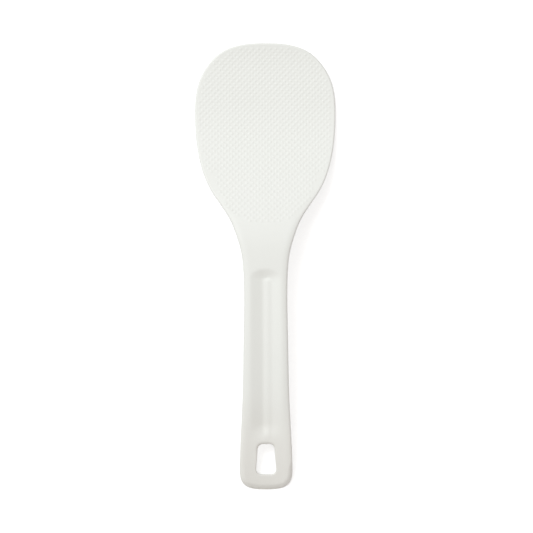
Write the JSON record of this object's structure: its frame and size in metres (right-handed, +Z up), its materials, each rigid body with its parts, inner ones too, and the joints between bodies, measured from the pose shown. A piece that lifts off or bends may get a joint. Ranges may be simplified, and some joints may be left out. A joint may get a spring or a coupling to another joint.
{
  "type": "rice paddle",
  "caption": "White one-piece rice paddle with a wide shallow blade of small dots, an arched handle with a shallow channel, and a hanging hole.",
  "frame": {"origin": "on the surface that the paddle rests on, under the middle of its length and width", "axes": "+X across the paddle, +Y along it towards the blade's tip, +Z up out of its front"},
  "size_m": [0.0944, 0.3, 0.0252],
  "materials": {
    "white_plastic": "satin white polypropylene"
  },
  "bodies": {
    "root": {"blade": "white_plastic", "neck": "white_plastic", "grip": "white_plastic", "hanging_end": "white_plastic"}
  },
  "joints": []
}
